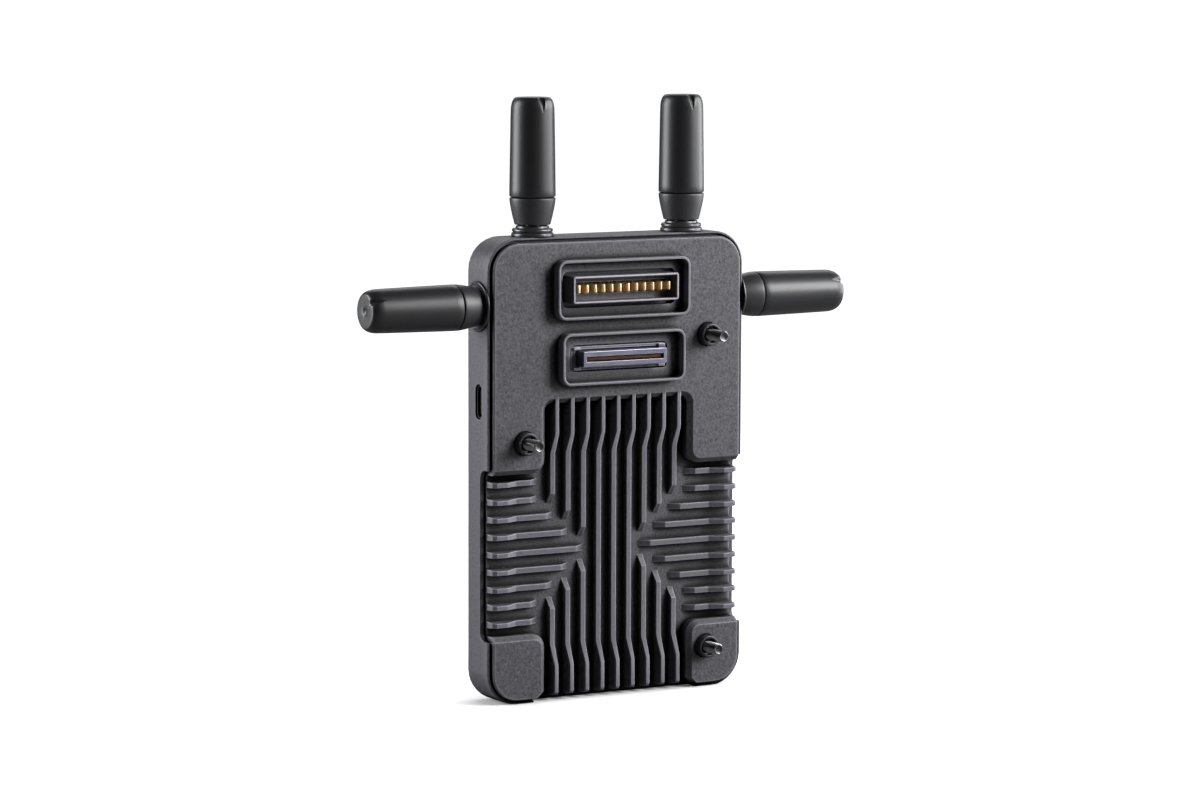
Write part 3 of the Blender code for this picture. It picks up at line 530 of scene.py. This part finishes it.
def threaded_screw(tip, name):
    """M3 captive screw: hex socket head inside, threaded shank, chamfered tip. Local +Z points out of the face."""
    seg, pitch, crest, root = 60, 0.5, 1.50, 1.235
    low, high = 1.2, tip
    bm = bmesh.new()
    rings = []
    steps = int((high - low) / pitch * 8)
    for j in range(steps + 1):
        h = low + (high - low) * j / steps
        ring = []
        for k in range(seg):
            ph = (h / pitch - k / seg) % 1.0
            tri = 1 - abs(2 * ph - 1)
            tri = min(1.0, max(0.0, (tri - 0.10) / 0.72))
            r = root + (crest - root) * tri
            r = min(r, crest - max(0.0, h - (tip - 0.32)) * 0.90)
            r = min(r, crest)
            ring.append(bm.verts.new((r * MM * math.cos(2 * math.pi * k / seg),
                                      r * MM * math.sin(2 * math.pi * k / seg), h * MM)))
        rings.append(ring)
    for a, b in zip(rings, rings[1:]):
        for k in range(seg):
            m = (k + 1) % seg
            bm.faces.new((a[k], a[m], b[m], b[k]))
    # tip cap, slightly dished
    prev = rings[-1]
    for r, h in ((1.16, tip), (0.98, tip - 0.12), (0.0, tip - 0.14)):
        if r == 0.0:
            c = bm.verts.new((0, 0, h * MM))
            for k in range(seg):
                bm.faces.new((prev[k], prev[(k + 1) % seg], c))
        else:
            ring = [bm.verts.new((r * MM * math.cos(2 * math.pi * k / seg),
                                  r * MM * math.sin(2 * math.pi * k / seg), h * MM)) for k in range(seg)]
            for k in range(seg):
                m = (k + 1) % seg
                bm.faces.new((prev[k], prev[m], ring[m], ring[k]))
            prev = ring
    # plain shank and socket head behind
    prev = rings[0]
    profile = fillet([(1.38, 1.2), (1.38, -7.6), (2.7, -7.6), (2.7, -10.3), (2.4, -10.6), (1.75, -10.6)],
                     {1: 0.1, 2: 0.15, 3: 0.2, 4: 0.1})
    for r, h in profile[1:]:
        ring = [bm.verts.new((r * MM * math.cos(2 * math.pi * k / seg),
                              r * MM * math.sin(2 * math.pi * k / seg), h * MM)) for k in range(seg)]
        for k in range(seg):
            m = (k + 1) % seg
            bm.faces.new((prev[m], prev[k], ring[k], ring[m]))
        prev = ring
    for h in (-10.6, -9.0):
        ring = []
        for k in range(seg):
            a = 2 * math.pi * k / seg
            within = (a + math.pi / 6) % (math.pi / 3) - math.pi / 6
            r = 1.25 / math.cos(within)
            ring.append(bm.verts.new((r * MM * math.cos(a), r * MM * math.sin(a), h * MM)))
        for k in range(seg):
            m = (k + 1) % seg
            bm.faces.new((prev[m], prev[k], ring[k], ring[m]))
        prev = ring
    c = bm.verts.new((0, 0, -8.6 * MM))
    for k in range(seg):
        bm.faces.new((prev[(k + 1) % seg], prev[k], c))
    return to_object(bm, name, STEEL, 35.0)


for i, (x, z, tip) in enumerate(SCREWS, 1):
    where = (x * MM, FACE_Y, z * MM)
    prof = [(1.8, -3.2), (3.9, -3.2), (3.9, -2.3), (3.0, -2.3), (3.0, 2.5), (2.38, 2.5), (2.30, 2.35), (2.3, 0.5),
            (1.8, 0.5)]
    sleeve = to_object(turn(fillet(prof, {1: 0.1, 2: 0.15, 4: 0.28, 5: 0.08, 7: 0.2}), 72),
                       "screw_bush_%d" % i, SLEEVE, 42.0)
    place(sleeve, where, (0, -1, 0))
    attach(sleeve, "case")
    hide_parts("captive_screw_sleeve_%d" % i)
    screw = threaded_screw(tip, "threaded_screw_%d" % i)
    place(screw, where, (0, -1, 0))
    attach(screw, "screw_turn_%d" % i)
    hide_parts("captive_screw_%d" % i)
    ring = to_object(turn(fillet([(1.8, -4.6), (2.9, -4.6), (2.9, -3.9), (1.8, -3.9)], {1: 0.12, 2: 0.12}), 64),
                     "screw_clip_%d" % i, STEEL, 42.0)
    place(ring, where, (0, -1, 0))
    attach(ring, "screw_travel_%d" % i)
    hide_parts("captive_screw_retainer_%d" % i)


def contact_blade(name):
    """Gold blade: rounded, slightly domed front, tapered shoulders. Local front is -Y."""
    bm = bmesh.new()
    w, h = 0.425, 1.15
    layers = [(3.3, 1.0, 1.0), (-1.9, 1.0, 1.0), (-2.45, 0.97, 0.98), (-2.72, 0.84, 0.94), (-2.86, 0.60, 0.88),
              (-2.90, 0.30, 0.80)]
    outline = []
    for cx, cz, a0 in ((1, 1, 0), (-1, 1, 90), (-1, -1, 180), (1, -1, 270)):
        for s in range(5):
            a = math.radians(a0 + 22.5 * s)
            outline.append((cx * (w - 0.18) + 0.18 * math.cos(a), cz * (h - 0.18) + 0.18 * math.sin(a)))
    rings = [[bm.verts.new((x * sx * MM, y * MM, z * sz * MM)) for x, z in outline] for y, sx, sz in layers]
    bm.faces.new(rings[0])
    bm.faces.new(list(reversed(rings[-1])))
    for a, b in zip(rings, rings[1:]):
        for k in range(len(outline)):
            m = (k + 1) % len(outline)
            bm.faces.new((a[k], a[m], b[m], b[k]))
    return to_object(bm, name, GOLD, 50.0)


for i in range(1, 13):
    lo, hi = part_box("power_contact_%02d" % i)
    blade = contact_blade("gold_blade_%02d" % i)
    blade.location = ((lo[0] + hi[0]) / 2, FACE_Y, (lo[2] + hi[2]) / 2)
    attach(blade, "case")
    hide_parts("power_contact_%02d" % i)


# ---------------------------------------------------------------- stage
def floor_disc():
    m = Mat("studio_floor")
    fine = m.noise(3.0, 2.0, 0.5)
    path = m.node("ShaderNodeLightPath")
    base = m.mix(path.outputs["Is Camera Ray"], m.ramp(fine, [(0.3, 0.19), (0.7, 0.20)]),
                 m.ramp(fine, [(0.3, 0.78), (0.7, 0.80)]))
    mat = m.set(base=base, rough=0.9, spec=0.1)
    # camera-only glow, dimmer toward the middle of the floor and cut further near the case as a painted contact shadow
    glow = m.node("ShaderNodeMath", operation="MULTIPLY")
    m.link(path.outputs["Is Camera Ray"], glow.inputs[0])
    away = m.node("ShaderNodeVectorMath", operation="LENGTH")
    m.link(m.coord.outputs["Object"], away.inputs[0])
    spread = m.node("ShaderNodeMapRange")
    spread.inputs["From Min"].default_value = 0.05
    spread.inputs["From Max"].default_value = 0.45
    spread.inputs["To Min"].default_value = FLOOR_GLOW
    spread.inputs["To Max"].default_value = 1.05
    m.link(away.outputs["Value"], spread.inputs["Value"])
    # painted shadow: ambient occlusion dims the glow where the floor meets the case
    contact = m.node("ShaderNodeAmbientOcclusion", samples=8)
    contact.inputs["Distance"].default_value = 0.012
    near = m.node("ShaderNodeMath", operation="MULTIPLY")
    m.link(m.ramp(contact.outputs["AO"], [(0.45, 0.12), (0.97, 1.0)]), near.inputs[0])
    m.link(spread.outputs["Result"], near.inputs[1])
    m.link(near.outputs[0], glow.inputs[1])
    m.shader.inputs["Emission Color"].default_value = (1, 1, 1, 1)
    m.link(glow.outputs[0], m.shader.inputs["Emission Strength"])
    bm = bmesh.new()
    bmesh.ops.create_circle(bm, cap_ends=True, radius=4.0, segments=96)
    obj = to_object(bm, "studio_floor", mat, 60.0)
    return obj


FLOOR_GLOW = 0.66
floor_disc()
scene = bpy.context.scene

YAW, PITCH, ROLL = math.radians(30.065), math.radians(6.261), math.radians(0.199)
target = Vector((-5.75, 0.0, 79.63)) * MM + Vector((0.0, FACE_Y, 0.0))
fwd = Vector((math.sin(YAW) * math.cos(PITCH), math.cos(YAW) * math.cos(PITCH), -math.sin(PITCH)))
right = Vector((math.cos(YAW), -math.sin(YAW), 0.0))
up = right.cross(fwd)
r2 = right * math.cos(ROLL) + up * math.sin(ROLL)
u2 = up * math.cos(ROLL) - right * math.sin(ROLL)
cam_data = bpy.data.cameras.new("camera")
cam_data.sensor_width = 36.0
cam_data.lens = 4261.0 / 1200.0 * 36.0
cam_data.clip_start = 0.05
cam = bpy.data.objects.new("camera", cam_data)
scene.collection.objects.link(cam)
rot = Matrix((r2, u2, -fwd)).transposed().to_4x4()
cam.matrix_world = Matrix.Translation(target - fwd * 1.1272) @ rot
scene.camera = cam


def area(name, where, look, size, power, colour=(1, 1, 1), spread=180.0):
    data = bpy.data.lights.new(name, "AREA")
    data.shape = "RECTANGLE"
    data.size, data.size_y = size
    data.energy = power
    data.color = colour
    data.spread = math.radians(spread)
    obj = bpy.data.objects.new(name, data)
    scene.collection.objects.link(obj)
    d = (Vector(look) - Vector(where)).normalized()
    obj.matrix_world = Matrix.Translation(where) @ d.to_track_quat("-Z", "Y").to_matrix().to_4x4()
    return obj


def around(az, el, dist):
    """Point at azimuth az from the camera's own direction (positive to the right of the picture)."""
    base = -30.065 + az
    a, e = math.radians(base), math.radians(el)
    return Vector((math.sin(a) * math.cos(e), -math.cos(a) * math.cos(e), math.sin(e))) * dist + Vector((0, 0, 0.075))


area("key", around(74, 27, 0.8), (0, 0, 0.075), (0.36, 0.42), 9.6)
area("right_low", around(90, 0, 0.8), (0, 0, 0.075), (0.40, 0.36), 1.4)
area("right_rear", around(116, 8, 0.8), (0, 0, 0.075), (0.40, 0.80), 9.5, (0.96, 0.97, 1.0))
area("left", around(-92, 6, 0.8), (0, 0, 0.075), (0.44, 0.85), 14.3, (0.96, 0.97, 1.0))
area("rear_top", around(180, 32, 0.9), (0, 0, 0.1), (0.8, 0.3), 1.8)

world = bpy.data.worlds.new("studio")
world.use_nodes = True
tree = world.node_tree
sky = tree.nodes["Background"]
sky.inputs["Color"].default_value = (1, 1, 1, 1)
ray = tree.nodes.new("ShaderNodeLightPath")
level = tree.nodes.new("ShaderNodeMapRange")
level.inputs["To Min"].default_value = 0.012
level.inputs["To Max"].default_value = 1.05
tree.links.new(ray.outputs["Is Camera Ray"], level.inputs["Value"])
tree.links.new(level.outputs["Result"], sky.inputs["Strength"])
scene.world = world
scene.view_settings.view_transform = "Standard"
